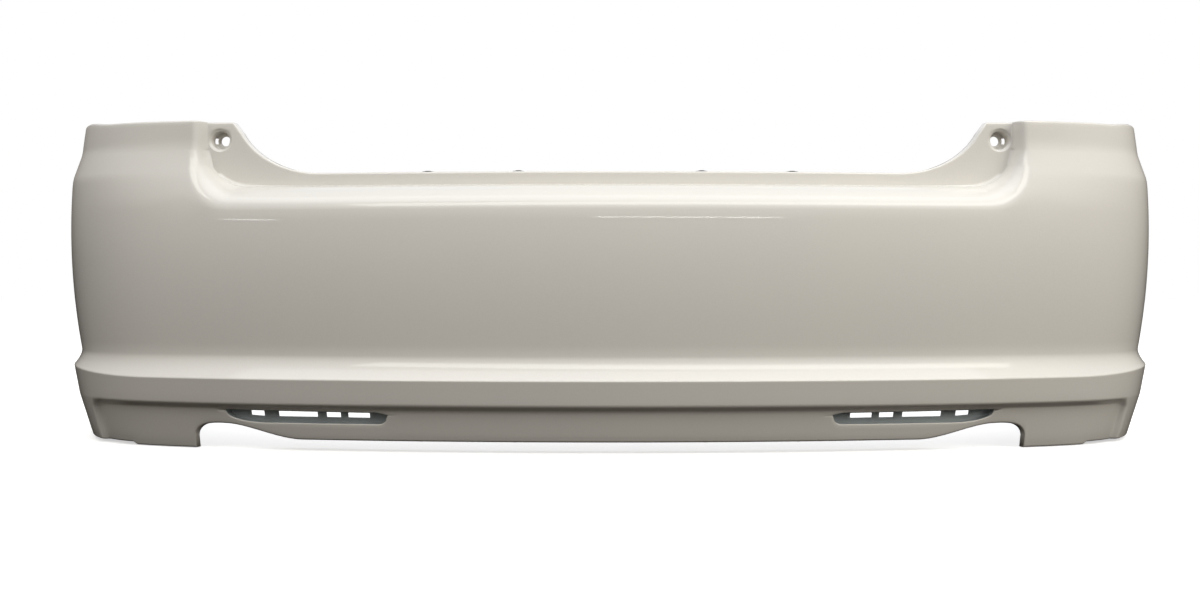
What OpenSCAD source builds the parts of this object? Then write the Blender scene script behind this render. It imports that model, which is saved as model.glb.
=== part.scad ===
// Rear bumper cover of a saloon car, with its moulded skin, reflector trays, brackets and fasteners.
// Frame: X across the car, +Y towards the front wheels, +Z up. Millimetres.

/* [Overall shape] */
// Length round the plan from the centreline to each wheel-arch edge
half_girth = 1335; // [1325:5:1345]
// Change of heading in the first 520 mm out from the centreline, degrees
crown = 9; // [8:0.5:10]
// Distance round the plan at which each corner starts to turn
turn_from = 624; // [620:2:630]
// Distance round the plan at which the turn is finished
turn_to = 1092; // [1084:2:1100]
// Wall thickness of the moulded skin
wall = 3; // [2.6:0.1:3.2]

/* [Front face] */
// Height of the lower edge in the middle
edge_z = 16; // [14:1:18]
// Height of the soft line above the inset lower panel
panel_z = 71; // [71:1:73]
// Height of the sharp crease in the middle
crease_z = 107; // [104:1:110]
// Height of the back of the ledge above the crease
ledge_z = 141; // [138:1:144]
// How far the crease stands out from the face behind the ledge, in the middle
ledge_out = 21; // [18:1:23]
// Height at which the face starts to roll over into the shelf
shoulder_z = 351; // [349:1:352]

/* [Boot recess] */
// Height of the bottom of the recess, where the shelf meets the sill strip
valley_z = 391; // [390:1:393]
// Height of the top of the sill strip
sill_z = 411; // [409:1:413]
// Height of the top of the corner gussets
gusset_z = 488; // [485:1:490]
// How far the recess floor lies behind the front line
recess_depth = 68; // [64:1:72]
// Distance round the plan to the inner edge of each wing
recess_to = 620; // [618:1:622]
// Radius of the lower outer corner of the recess
recess_r = 60; // [57:1:62]

/* [Reflector slots] */
// Inner end of each slot, round the plan from the centreline
slot_from = 323; // [318:1:328]
// Outer end of each slot
slot_to = 569; // [564:1:571]
// Height of the lower lip of the slots
slot_z = 41.5; // [41:0.5:42]
// Height of the slot opening at its inner end
slot_h = 17; // [16:0.5:17]

/* [Exhaust notches] */
// Highest point of each notch, round the plan from the centreline
notch_peak = 577; // [575:1:580]
// Rise of the notch above the lower edge
notch_rise = 23; // [20:1:24]

/* [Corner cups] */
// Distance of the cup axis from the centreline
cup_x = 588; // [586:1:589]
// Height of the cup axis
cup_z = 461; // [459:1:463]
// Radius of the cup bore
cup_r = 14; // [13:0.5:14.5]
// Depth of the cup behind the recess floor
cup_depth = 20; // [18:1:22]
// Radius of the fixing hole in the cup floor
cup_hole_r = 7.5; // [6.5:0.5:7.5]

/* [Push-in retainers] */
// Distance of the inner retainers from the centreline
clip_x_inner = 140; // [130:5:150]
// Distance of the outer retainers from the centreline
clip_x_outer = 280; // [270:5:290]
// Radius of the retainer shanks
clip_r = 4; // [3.6:0.1:4.2]
// Running clearance between centre pin and collar, on the radius
clip_gap = 0.05; // [0.03:0.01:0.08]

/* [Hidden] */
inset_deep = 8;
inset_to = 826;
inset_r = 25;
panel_flare = 0.12;
band_slope = 0.2;
face_mid = 288;
face_bulge = 1800;
shoulder_in = 26;
side_mid = 330;
side_bulge = 2240;
side_ledge = 11.4;
side_slope = 0.175;
side_in = 10;
gusset_from = 445;
gusset_to = 576;
gusset_bend = 0.98;
wing_rise = 5;
wing_fall = 97;
roll_wide = 40;
roll_tight = 12;
side_heading = 88;
arch_r = 370;
arch_z = 83;
arch_reach = 186;
arch_blend = 1070;
lower_flange = 38;
notch_flange = 12;
sill_flange = 28;
top_flange = 14;
arch_flange = 24;
notch_from = 455;
notch_to = recess_to + 7.5;
lobe_step = 738;
cup_shift = 3;
cup_lip_r = 17;
sheet_t = 2;
bracket_t = 3;
strip_gap = 0.3;
clip_head = 1.2;
pin_head = 1;
pin_r = clip_r / 2;
rivet_r = 1.6;
clip_xs = [-clip_x_outer, -clip_x_inner, clip_x_inner, clip_x_outer];
side_cell = (half_girth - 1020) / 5;
rail_stations = [for (i = [1:3]) 1020 + side_cell * (i + 0.5)];
arch_cell = (shoulder_z - ledge_z) / 4;
nut_heights = [for (i = [0, 1, 3]) ledge_z + arch_cell * (i + 0.5)];
rail_in = 7.5;
nut_in = 13;
strip_reach = 300;
clip_in = 16;
edge_in = 22;
rivet_xs = [-210, -70, 0, 70, 210];
stake_places = [[slot_from - 8, slot_z + 10.5], [slot_to + 8, slot_z + 17.5]];

// Smooth steps from 0 to 1
function ease(t) = let (u = min(1, max(0, t))) u * u * (3 - 2 * u);
function ease5(t) = let (u = min(1, max(0, t))) u * u * u * (u * (6 * u - 15) + 10);

// Heading of the plan curve at a distance round it, degrees
function heading(a) =
    let (mild = crown * a / 520)
    mild + (side_heading - mild) * ease5((a - turn_from) / (turn_to - turn_from));

// Plan curve, summed in short steps along the heading
plan_step = 5;
plan_line = [for (i = 0, p = [0, 0]; i * plan_step <= half_girth + 30;
    p = p + plan_step * along(i + 0.5), i = i + 1) p];
function along(i) = let (h = heading(i * plan_step)) [cos(h), sin(h)];
function plan_at(a) =
    let (f = a / plan_step, i = floor(f), t = f - i)
    plan_line[i] * (1 - t) + plan_line[i + 1] * t;

// Lower edge: middle, exhaust notch, outer lobe with its step
function notch_edge(a) =
    let (u = (a - notch_peak) / (notch_to - notch_peak))
    3 + (edge_z + notch_rise - 3) * pow(max(0, 1 - u * u * u), 1 / 3);
function bottom_z(a) =
    a >= notch_to ? 4 * ease((a - lobe_step) / 10) * (1 - ease((a - 930) / 100))
    : a > notch_peak ? notch_edge(a)
    : edge_z + notch_rise * ease((a - notch_from) / (notch_peak - notch_from));

// Upper edge: sill strip, gusset hollowed as part of an ellipse, wing
function hollow(u) = (1 - sqrt(1 - pow(gusset_bend * u, 2))) / (1 - sqrt(1 - pow(gusset_bend, 2)));
function top_z(a) =
    let (u = min(1, max(0, (a - gusset_from) / (gusset_to - gusset_from))))
    sill_z + (gusset_z - sill_z) * hollow(u) + wing_rise * ease((a - 780) / 80)
    - wing_fall * ease((a - 880) / (half_girth - 880));

function crease_at(a) = crease_z + 11 * ease((a - 700) / 250);

// Reflector slot lips, rounded at the inner end and swept up at the outer end
function slot_t(a) = (a - slot_from) / (slot_to - slot_from);
function slot_low(a) =
    let (t = slot_t(a))
    t < 0 || t > 1 ? 48
    : t < 0.06 ? slot_z + 12 * (1 - sqrt(1 - pow(1 - t / 0.06, 2)))
    : t > 0.75 ? slot_z + (slot_h - 0.5) * (1 - sqrt(max(0, 1 - pow((t - 0.75) / 0.25, 2))))
    : slot_z;
function slot_high(a) =
    let (t = slot_t(a))
    t < 0 || t > 1 ? 57 : slot_z + slot_h + 2 * t - 3 * max(0, 1 - t / 0.06);

// Depth of the plain face behind the plan curve
function face_depth(z) = pow(z - face_mid, 2) / face_bulge;
function rounded_inset(a, z) =
    let (p = a - (inset_to - inset_r), r = z - (panel_z - inset_r))
    norm([max(p, 0), max(r, 0)]) - inset_r + min(max(p, r), 0);
function ledge_step(z, c) = pow(min(1, (ledge_z - z) / (ledge_z - c)), 1.8);
function middle_profile(z, c) =
    z < ledge_z ? face_depth(ledge_z) - ledge_out * ledge_step(z, c) + band_slope * max(0, c - z)
    : z > shoulder_z - 3 ? face_depth(shoulder_z - 3) + shoulder_in * ease((z - shoulder_z + 3) / 115)
    : face_depth(z);
function side_profile(z, c) =
    z < ledge_z ? pow(ledge_z - side_mid, 2) / side_bulge - side_ledge * ledge_step(z, c)
        + side_slope * max(0, c - z)
    : pow(z - side_mid, 2) / side_bulge + side_in * ease((z - 400) / 55);
function base_depth(a, z) =
    let (e = ease((a - 500) / 400), c = crease_at(a))
    middle_profile(z, c) * (1 - e) + side_profile(z, c) * e
    + panel_flare * max(0, panel_z - z) + inset_deep * ease(-rounded_inset(a, z) / 10);

// The recess floor flattens behind the gussets
function floor_a(a) = a < 430 ? a : 430 + 90 * (1 - exp((430 - a) / 90));
function floor_depth(a) =
    (recess_depth + plan_at(floor_a(a))[1] - plan_at(a)[1]) / cos(min(heading(a), 68));

// Skin surface: distance round the plan, height and inward depth after the recess is rolled in
function skin_coords(a, z) =
    let (p = a - (recess_to - recess_r), r = valley_z + recess_r - z,
        far = norm([max(p, 0), max(r, 0)]),
        q = far - recess_r + min(max(p, r), 0),
        out = p > 0 && r > 0 ? [p, r] / far : p > r ? [1, 0] : [0, 1],
        w = roll_tight + (roll_wide - roll_tight) * out[1] * out[1],
        t = min(1, max(0, q / w)),
        shift = q > 0 && q < w ? w * (1 - cos(90 * t)) - q : 0,
        a2 = a + out[0] * shift, z2 = z - out[1] * shift,
        k = q <= 0 ? 1 : 1 - sin(90 * t),
        d = base_depth(a2, z2))
    [a2, z2, d + (floor_depth(a2) - d) * k];

// The sides are drawn in so that they end on the wheel-arch circle
function arch_end(z) =
    half_girth + arch_reach - sqrt(arch_r * arch_r - pow(min(arch_r - 1, abs(z - arch_z)), 2));
function arch_fit(a, z) =
    a <= arch_blend ? a
    : arch_blend + (a - arch_blend) * (arch_end(z) - arch_blend) / (half_girth - arch_blend);

// Point in space on the outer surface, or further in by the given depth
function skin_raw(s, z, extra = 0) =
    let (c = skin_coords(abs(s), z), a = arch_fit(c[0], c[1]), h = heading(a),
        m = plan_at(a) + (c[2] + extra) * [-sin(h), cos(h)])
    [s < 0 ? -m[0] : m[0], m[1], c[1]];
front_y = face_depth(ledge_z) - ledge_out;
back_y = skin_raw(half_girth, top_z(half_girth), arch_flange)[1];
mid_y = (front_y + back_y) / 2;
function skin_at(s, z, extra = 0) = skin_raw(s, z, extra) - [0, mid_y, 0];

// Grid lines near the recess corner are bent to follow its rounded outline
function bent(a, z) =
    let (p = a - (recess_to - recess_r), r = valley_z + recess_r - z)
    p <= 0 || r <= 0 ? [a, z]
    : let (m = max(p, r),
        turn = p > r ? 45 * r / p : 90 - 45 * p / r,
        b = 1 - ease((m - recess_r - 15) / (recess_r + 15)),
        g = [p, r] + b * (m * [cos(turn), sin(turn)] - [p, r]))
    [recess_to - recess_r + g[0], valley_z + recess_r - g[1]];

// Grid stations of one half, from the centreline outwards
corner_a = recess_to - recess_r;
half_cols = concat(
    [for (i = [0:4]) slot_from * i / 5],
    [for (t = [0, 0.03, 0.08, 0.25, 0.4]) slot_from + (slot_to - slot_from) * t],
    [for (i = [0:7]) 450 + (slot_to - 450) * i / 8],
    [slot_to, gusset_to, gusset_to + 14, gusset_to + 30],
    [for (q = [0, 3, 7.5, 12, 20, 30, 40]) recess_to + q],
    [680, 708, lobe_step, lobe_step + 10, 782, inset_to - 10, inset_to],
    [for (i = [1:6]) inset_to + (1020 - inset_to) * i / 6],
    [for (i = [1:5]) 1020 + (half_girth - 1020) * i / 5]);
stations = concat(
    [for (i = [len(half_cols) - 1:-1:1]) -half_cols[i]], half_cols);
cols = len(stations);

// Heights of the grid rows at a station, lower edge to upper edge
function row_heights(a) =
    let (c = crease_at(a), b = bottom_z(a), t = top_z(a))
    concat(
        [b, slot_low(a), slot_high(a), panel_z - 9, panel_z + 1, c],
        [for (f = [0.2, 0.45, 1]) c + (ledge_z - c) * f],
        [for (f = [1:3]) ledge_z + (shoulder_z - ledge_z) * f / 4],
        [for (q = [40, 30, 20, 12, 7.5, 3, 0]) valley_z - q],
        [for (f = [0.15, 0.4, 0.65, 0.85, 1]) valley_z + (t - valley_z) * f]);
rows = len(row_heights(0));
function rim_depth(a) = a < 440 ? sill_flange : top_flange;
function lower_depth(a) =
    lower_flange - (lower_flange - notch_flange) * ease((a - 530) / 45) * (1 - ease((a - 650) / 45));

function column(s, extra) =
    let (a = abs(s), z = row_heights(a), low = bent(a, z[0]), high = bent(a, z[rows - 1]),
        side = s < 0 ? -1 : 1)
    concat(
        [skin_at(side * low[0], low[1], lower_depth(a))],
        [for (h = z) let (g = bent(a, h)) skin_at(side * g[0], g[1], extra)],
        [skin_at(side * high[0], high[1], rim_depth(a))]);
skin_grid = concat(
    [column(-half_girth, arch_flange)],
    [for (s = stations) column(s, 0)],
    [column(half_girth, arch_flange)]);

// Cells of the grid that hold material: not the slots, nor the flange corners
function skin_keeps(i, j) =
    let (end = i == 0 || i == cols,
        a = end ? 0 : min(abs(stations[i - 1]), abs(stations[i])),
        b = end ? 0 : max(abs(stations[i - 1]), abs(stations[i])))
    end ? j > 0 && j < rows
    : j == 2 ? !(a >= slot_from && b <= slot_to)
    : j == rows ? b <= gusset_to + 30 || a >= recess_to + 20
    : true;
skin_cells = [for (i = [0:cols]) [for (j = [0:rows]) skin_keeps(i, j)]];

// Thick sheet behind a grid of points: cells marked false are left open
function cell_normal(p, i, j) =
    let (n = cross(p[i + 1][j + 1] - p[i][j], p[i][j + 1] - p[i + 1][j])) n / max(norm(n), 0.000001);
function kept(cells, i, j) =
    i >= 0 && j >= 0 && i < len(cells) && j < len(cells[0]) && cells[i][j];
function inward(p, cells, i, j) =
    let (around = [for (u = [i - 1, i], v = [j - 1, j]) if (kept(cells, u, v)) cell_normal(p, u, v)],
        m = len(around) == 0 ? [0, 1, 0] : [for (n = around) 1] * around / len(around))
    -m / max(m * m, 0.5);
module sheet(p, cells, t) {
    nj = len(p[0]);
    n = len(p) * nj;
    inner = [for (i = [0:len(p) - 1]) for (j = [0:nj - 1]) p[i][j] + t * inward(p, cells, i, j)];
    faces = [for (i = [0:len(p) - 2]) for (j = [0:nj - 2]) if (cells[i][j])
        let (a = i * nj + j, b = a + nj, c = b + 1, d = a + 1, flip = 2 * i < len(p) - 1)
        each concat(
            flip ? [[a, d, b], [d, c, b]] : [[a, d, c], [a, c, b]],
            flip ? [[a + n, b + n, d + n], [b + n, c + n, d + n]]
                : [[a + n, b + n, c + n], [a + n, c + n, d + n]],
            kept(cells, i, j - 1) ? [] : [[a, b, b + n], [a, b + n, a + n]],
            kept(cells, i + 1, j) ? [] : [[b, c, c + n], [b, c + n, b + n]],
            kept(cells, i, j + 1) ? [] : [[c, d, d + n], [c, d + n, c + n]],
            kept(cells, i - 1, j) ? [] : [[d, a, a + n], [d, a + n, d + n]])];
    polyhedron(points = concat([for (c = p) each c], inner), faces = faces);
}

// Places children at a point of the surface, turned so that +Z is the given lean about X
module at_point(p, lean = 0) {
    translate(p) rotate([lean, 0, 0]) children();
}

// Middle of a cell of the top flange or of the arch flange, and the lean of that cell about X
function cell_mid(p) = (p[0] + p[1]) / 2;
function rim_ends(s, in) =
    [for (u = [-0.5, 0.5]) let (q = s + sign(s) * u * side_cell) skin_at(q, top_z(abs(q)), in)];
function rim_point(s, in) = cell_mid(rim_ends(s, in));
function rim_lean(s) = let (e = rim_ends(s, 0), d = e[1] - e[0]) atan2(d[2], d[1]);
function arch_ends(side, z, in) = [for (u = [-0.5, 0.5]) skin_at(side * half_girth, z + u * arch_cell, in)];
function arch_point(side, z, in) = cell_mid(arch_ends(side, z, in));
function arch_lean(side, z) = let (e = arch_ends(side, z, 0), d = e[1] - e[0]) -atan2(d[1], d[2]);

// Places on the sill flange and on the lower flange, and the recess floor at the cups
function sill_place(x) = skin_at(x, sill_z, clip_in);
function edge_place(x) = skin_at(x, edge_z, edge_in);
cup_y = skin_at(cup_x, sill_z)[1];

// Places children on the inner face of the lower panel, +Z pointing back into the car
module at_stake(side, place) {
    translate(skin_at(side * place[0], place[1], wall)) rotate([0, 0, side * heading(place[0])])
        rotate([-90, 0, 0]) children();
}

// Axis of a corner cup: +Z of the children points back into the car
module at_cup(side) {
    translate([side * cup_x, cup_y, cup_z]) rotate([-90, 0, 0]) children();
}

module skin() {
    color("Gainsboro")
    difference() {
        union() {
            sheet(skin_grid, skin_cells, wall);
            for (side = [-1, 1]) {
                at_cup(side)
                    translate([0, 0, 1]) cylinder(r = cup_r + wall, h = cup_depth - 1, $fn = 96);
                for (place = stake_places)
                    at_stake(side, place)
                        translate([0, 0, -1.5]) cylinder(r = 1.5, h = 8.5, $fn = 36);
            }
        }
        for (side = [-1, 1]) {
            at_cup(side) {
                translate([0, 0, -4]) cylinder(r = cup_lip_r, h = 5.5, $fn = 96);
                translate([0, 0, -4]) cylinder(r = cup_r, h = cup_depth + 1, $fn = 96);
                translate([-side * cup_shift, 0, 0]) cylinder(r = cup_hole_r, h = cup_depth + 5, $fn = 72);
                translate([side * 11 - 2.5, -5.5, 0]) cube([5, 11, cup_depth + 5]);
            }
            for (s = rail_stations)
                at_point(rim_point(side * s, rail_in), rim_lean(side * s))
                    translate([0, 0, -8]) cylinder(r = 2.6, h = 16, $fn = 36);
            for (z = nut_heights)
                at_point(arch_point(side, z, nut_in), arch_lean(side, z))
                    rotate([-90, 0, 0]) translate([0, 0, -8]) cylinder(r = 3.2, h = 16, $fn = 36);
        }
        for (x = clip_xs) {
            translate(sill_place(x) + [0, 0, -8]) cylinder(r = clip_r + 0.2, h = 16, $fn = 48);
            translate(edge_place(x) + [0, 0, -8]) cylinder(r = clip_r + 0.2, h = 16, $fn = 48);
        }
        for (x = rivet_xs) {
            translate(sill_place(x) + [0, 0, -8]) cylinder(r = rivet_r + 0.2, h = 16, $fn = 36);
            translate(edge_place(x) + [0, 0, -8]) cylinder(r = rivet_r + 0.2, h = 16, $fn = 36);
        }
    }
}

// Reflector tray: a dished insert with a flat rim behind the slot and open windows in its floor
window_from = [353.5, 397.5, 433, 516];
window_to = [386.5, 419.5, 493.5, 537];
tray_half = concat(
    [slot_from - 13, slot_from - 1, slot_from, slot_from + 9],
    [for (i = [0:3]) each [window_from[i], window_to[i]]],
    [for (q = [-21, -12, -5, 0, 1, 13]) slot_to + q]);
tray_gap = wall + 0.8;
function tray_rows(a) =
    let (b = min(slot_to, max(slot_from, a)), low = slot_low(b), high = slot_high(b),
        m = min(7.5, 0.42 * (high - low)), n = min(2.5, (high - low) / 6))
    [[low - 5, 0, 0], [low - 1, 0, 0], [low - 0.6, 12, 0], [low + m, 12.4, 0],
        [high - n, 12.6, 0], [high + 0.6, 13, 0], [high + 1, 0, 0],
        [min(high + 7, panel_z - 6), 0, 3]];
function in_slot(a) = a > slot_from - 0.5 && a < slot_to + 0.5 ? 1 : 0;
function tray_column(side, a) =
    [for (r = tray_rows(a)) skin_at(side * a, r[0], tray_gap + r[1] * in_slot(a) + r[2])];
function windowed(a, b) =
    len([for (i = [0:3]) if (a > window_from[i] - 1 && b < window_to[i] + 1) i]) > 0;
module reflector_tray(side) {
    order = side > 0 ? tray_half : [for (i = [len(tray_half) - 1:-1:0]) tray_half[i]];
    grid = [for (a = order) tray_column(side, a)];
    cells = [for (i = [0:len(order) - 2])
        let (a = min(order[i], order[i + 1]), b = max(order[i], order[i + 1]))
        [for (j = [0:6]) !(j == 3 && windowed(a, b))]];
    color("SlateGray")
    difference() {
        sheet(grid, cells, sheet_t);
        for (place = stake_places)
            at_stake(side, place) translate([0, 0, -3]) cylinder(r = 1.8, h = 12, $fn = 36);
    }
}

// Push-on rings that hold the trays on their stakes
module tray_push_rings() {
    color("DarkGray")
    for (side = [-1, 1], place = stake_places)
        at_stake(side, place)
            translate([0, 0, 5.3])
                difference() {
                    cylinder(r = 3, h = 0.8, $fn = 36);
                    translate([0, 0, -1]) cylinder(r = 1.52, h = 3, $fn = 36);
                }
}

// Flat plate bracket inside each side, with tabs that reach out under the top flange
function rail_x(side) = side * (abs(rim_point(rail_stations[0], top_flange)[0]) - 2);
rail_hole_z = 372;
rail_mid_y = rim_point(rail_stations[1], 0)[1];
module side_rail(side) {
    top = [for (i = [0:8])
        let (a = rail_stations[0] - 30 + 22 * i, p = skin_at(side * a, top_z(a), rail_in))
        [p[1], p[2] - wall - 2.2]];
    low = rail_hole_z - 14;
    x = rail_x(side);
    color("DimGray")
    difference() {
        union() {
            translate([side > 0 ? x - bracket_t : x, 0, 0]) rotate([90, 0, 90])
                linear_extrude(height = bracket_t)
                    polygon(concat(top, [[top[8][0], low], [top[0][0], low]]));
            for (s = rail_stations) {
                p = rim_point(side * s, rail_in);
                reach = abs(p[0] - x) + 3;
                root = bracket_t + 1.5;
                at_point([x, p[1], p[2]], rim_lean(side * s))
                    translate([side > 0 ? -root : -reach, -9, -wall - strip_gap - 3])
                        cube([reach + root, 18, 3]);
            }
        }
        for (s = rail_stations)
            at_point(rim_point(side * s, rail_in), rim_lean(side * s))
                translate([0, 0, -12]) cylinder(r = 2.2, h = 12, $fn = 36);
        for (u = [-60, 60])
            translate([x - 10, rail_mid_y + u, rail_hole_z]) rotate([0, 90, 0])
                cylinder(r = 3.3, h = 20, $fn = 48);
        for (u = [-1, 1])
            translate([x - 10, rail_mid_y + 28 * u, 398 - 6 * u]) rotate([0, 90, 0])
                cylinder(r = 13, h = 20, $fn = 48);
    }
}

module side_rail_screws() {
    color("DarkGray")
    for (side = [-1, 1], s = rail_stations)
        at_point(rim_point(side * s, rail_in), rim_lean(side * s)) {
            translate([0, 0, 0.2]) cylinder(r1 = 4.5, r2 = 3.8, h = 2, $fn = 48);
            translate([0, 0, -10]) cylinder(r = 1.9, h = 11, $fn = 36);
            translate([0, 0, -12]) cylinder(r1 = 0.4, r2 = 1.9, h = 2, $fn = 36);
        }
}

// Pressed plate behind each gusset, held on the cup by a push-on ring
stiffener_outline = [[563, 445], [566.5, 465], [576, 483], [620, 483], [620, 408], [610, 398], [575, 398]];
module corner_stiffener(side) {
    y = cup_y + wall + 1.4;
    color("Silver")
    difference() {
        union() {
            translate([0, y + 2.5, 0]) rotate([90, 0, 0]) linear_extrude(height = 2.5)
                polygon([for (p = stiffener_outline) [side * p[0], p[1]]]);
            translate([side > 0 ? 617.5 : -620, y, 408]) cube([2.5, 14, 75]);
            translate([side > 0 ? 575 : -610, y, 398]) cube([35, 14, 2.5]);
        }
        at_cup(side) cylinder(r = cup_r + wall + 1, h = 30, $fn = 96);
    }
}

module cup_push_rings() {
    color("DarkGray")
    for (side = [-1, 1])
        at_cup(side)
            translate([0, 0, wall + 4])
                difference() {
                    union() {
                        cylinder(r = 21.5, h = 1.2, $fn = 96);
                        cylinder(r = 19.5, h = 3, $fn = 96);
                    }
                    translate([0, 0, -1]) cylinder(r = cup_r + wall + 0.02, h = 6, $fn = 96);
                }
}

// Curved strip that follows the recess floor or the lower edge at a constant height
function strip_line(z, in, n) =
    [for (i = [0:n]) let (p = skin_at(strip_reach * (2 * i / n - 1), z, in)) [p[0], p[1]]];
module strip(z, near, far) {
    n = 24;
    back = strip_line(z, far, n);
    polygon(concat(strip_line(z, near, n), [for (i = [n:-1:0]) back[i]]));
}

module sill_stiffener() {
    z = sill_z - wall - strip_gap - sheet_t;
    color("Silver")
    difference() {
        union() {
            translate([0, 0, z]) linear_extrude(height = sheet_t) strip(sill_z, 6, 31);
            translate([0, 0, z - 22]) linear_extrude(height = 22.5) strip(sill_z, 29, 31);
        }
        for (x = clip_xs)
            translate(sill_place(x) + [0, 0, -20]) cylinder(r = clip_r + 0.4, h = 24, $fn = 48);
        for (x = rivet_xs)
            translate(sill_place(x) + [0, 0, -20]) cylinder(r = rivet_r + 0.2, h = 24, $fn = 36);
    }
}

module valance_stiffener() {
    z = edge_z + wall + strip_gap;
    color("Silver")
    difference() {
        union() {
            translate([0, 0, z]) linear_extrude(height = sheet_t) strip(edge_z, 9, 35);
            translate([0, 0, z + 1.5]) linear_extrude(height = 14) strip(edge_z, 33, 35);
        }
        for (x = clip_xs)
            translate(edge_place(x) + [0, 0, -2]) cylinder(r = clip_r + 0.4, h = 24, $fn = 48);
        for (x = rivet_xs)
            translate(edge_place(x) + [0, 0, -2]) cylinder(r = rivet_r + 0.2, h = 24, $fn = 36);
    }
}

// Blind rivets through a flange and its stiffener: +Z of each points away from the stiffener
grip = wall + strip_gap + sheet_t;
module rivet() {
    translate([0, 0, 0.02]) cylinder(r1 = 3.4, r2 = 2.6, h = 0.9, $fn = 36);
    translate([0, 0, -grip - 2]) cylinder(r = rivet_r, h = grip + 2.5, $fn = 36);
    translate([0, 0, -grip - 3]) cylinder(r = 2.6, h = 2.9, $fn = 36);
}
module sill_rivets() {
    color("Gray")
    for (x = rivet_xs) translate(sill_place(x)) rivet();
}
module valance_rivets() {
    color("Gray")
    for (x = rivet_xs) translate(edge_place(x)) rotate([180, 0, 0]) rivet();
}

// Expanding collar of a push-in retainer: head above the flange, split legs below it
module collar() {
    tip = grip + 8;
    difference() {
        union() {
            translate([0, 0, 0.02]) cylinder(r = 9, h = clip_head - 0.02, $fn = 72);
            translate([0, 0, 1.5 - tip]) cylinder(r = clip_r, h = tip - 0.5, $fn = 72);
            translate([0, 0, -tip]) cylinder(r1 = clip_r - 0.8, r2 = clip_r, h = 1.5, $fn = 72);
        }
        translate([0, 0, -tip - 1]) cylinder(r = pin_r + clip_gap, h = tip + 4, $fn = 72);
        for (turn = [0, 90])
            rotate([0, 0, turn]) translate([-clip_r - 1, -0.4, -tip - 1])
                cube([2 * clip_r + 2, 0.8, tip - grip]);
    }
}
// Centre pin of a retainer, pushed home
module centre_pin() {
    translate([0, 0, clip_head + 0.02]) cylinder(r1 = 5, r2 = 4.4, h = pin_head, $fn = 72);
    translate([0, 0, -grip - 6]) cylinder(r = pin_r, h = grip + 6 + clip_head + 0.1, $fn = 72);
    translate([0, 0, -grip - 8]) cylinder(r1 = 0.6, r2 = pin_r, h = 2, $fn = 72);
}
module upper_clip_collars() {
    color("Black")
    for (x = clip_xs) translate(sill_place(x)) collar();
}
module lower_clip_collars() {
    color("Black")
    for (x = clip_xs) translate(edge_place(x)) rotate([180, 0, 0]) collar();
}
module upper_clip_pin(i) {
    color("Black") translate(sill_place(clip_xs[i])) centre_pin();
}
module lower_clip_pin(i) {
    color("Black") translate(edge_place(clip_xs[i])) rotate([180, 0, 0]) centre_pin();
}

// Spring-steel clip nuts on the wheel-arch flange, with a drawn collar on the inner leg
module arch_clip_nuts() {
    edge = arch_flange - nut_in;
    color("DimGray")
    for (side = [-1, 1], z = nut_heights)
        at_point(arch_point(side, z, nut_in), arch_lean(side, z))
            difference() {
                union() {
                    translate([side > 0 ? -edge - 2 : -6, 0.6, -8]) cube([edge + 8, 1, 16]);
                    translate([side > 0 ? -edge - 2 : -6, -wall - 1.6, -8]) cube([edge + 8, 1, 16]);
                    translate([side > 0 ? -edge - 2 : edge + 1, -wall - 1.6, -8]) cube([1, wall + 3.2, 16]);
                    rotate([90, 0, 0]) translate([0, 0, wall + 0.6]) cylinder(r = 4, h = 5, $fn = 48);
                }
                rotate([90, 0, 0]) translate([0, 0, -4]) cylinder(r = 2.1, h = 20, $fn = 48);
                rotate([90, 0, 0]) translate([0, 0, -4]) cylinder(r = 3, h = 6, $fn = 48);
            }
}

skin();  // bumper_skin
reflector_tray(-1);  // reflector_tray_left
reflector_tray(1);  // reflector_tray_right
tray_push_rings();
side_rail(-1);  // side_rail_left
side_rail(1);  // side_rail_right
side_rail_screws();
corner_stiffener(-1);  // corner_stiffener_left
corner_stiffener(1);  // corner_stiffener_right
cup_push_rings();
sill_stiffener();
sill_rivets();
valance_stiffener();
valance_rivets();
arch_clip_nuts();
upper_clip_collars();
upper_clip_pin(0);  // upper_clip_pin_1
upper_clip_pin(1);  // upper_clip_pin_2
upper_clip_pin(2);  // upper_clip_pin_3
upper_clip_pin(3);  // upper_clip_pin_4
lower_clip_collars();
lower_clip_pin(0);  // lower_clip_pin_1
lower_clip_pin(1);  // lower_clip_pin_2
lower_clip_pin(2);  // lower_clip_pin_3
lower_clip_pin(3);  // lower_clip_pin_4
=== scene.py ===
"""Rear bumper cover of a saloon car: painted wrap-round skin, reflector trays, brackets and push-in retainers."""

import bpy
import numpy as np
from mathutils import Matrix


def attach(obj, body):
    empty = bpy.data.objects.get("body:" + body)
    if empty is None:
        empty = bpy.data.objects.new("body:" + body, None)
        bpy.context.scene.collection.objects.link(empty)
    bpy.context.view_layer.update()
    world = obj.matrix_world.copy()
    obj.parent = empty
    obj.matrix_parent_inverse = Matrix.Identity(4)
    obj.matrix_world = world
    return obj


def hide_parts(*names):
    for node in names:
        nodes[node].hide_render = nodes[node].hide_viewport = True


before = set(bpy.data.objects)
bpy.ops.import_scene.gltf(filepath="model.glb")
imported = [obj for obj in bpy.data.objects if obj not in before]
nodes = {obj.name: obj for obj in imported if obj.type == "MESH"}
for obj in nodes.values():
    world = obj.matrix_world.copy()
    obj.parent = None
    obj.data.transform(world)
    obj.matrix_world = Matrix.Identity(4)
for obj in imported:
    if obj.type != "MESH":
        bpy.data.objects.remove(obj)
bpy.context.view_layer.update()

# ------------------------------------------------------------------ painted skin
# The cover itself: one injection moulding of soft polypropylene, 3 mm thick, that wraps round both rear corners of
# the car. It is painted on the outside and on its turned-in flanges, and left raw grey inside. Sizes are in
# millimetres and the same as the solid model's.
half_girth, wall = 1335.0, 3.0                       # from the centreline round to the wheel arch, and thickness
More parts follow.
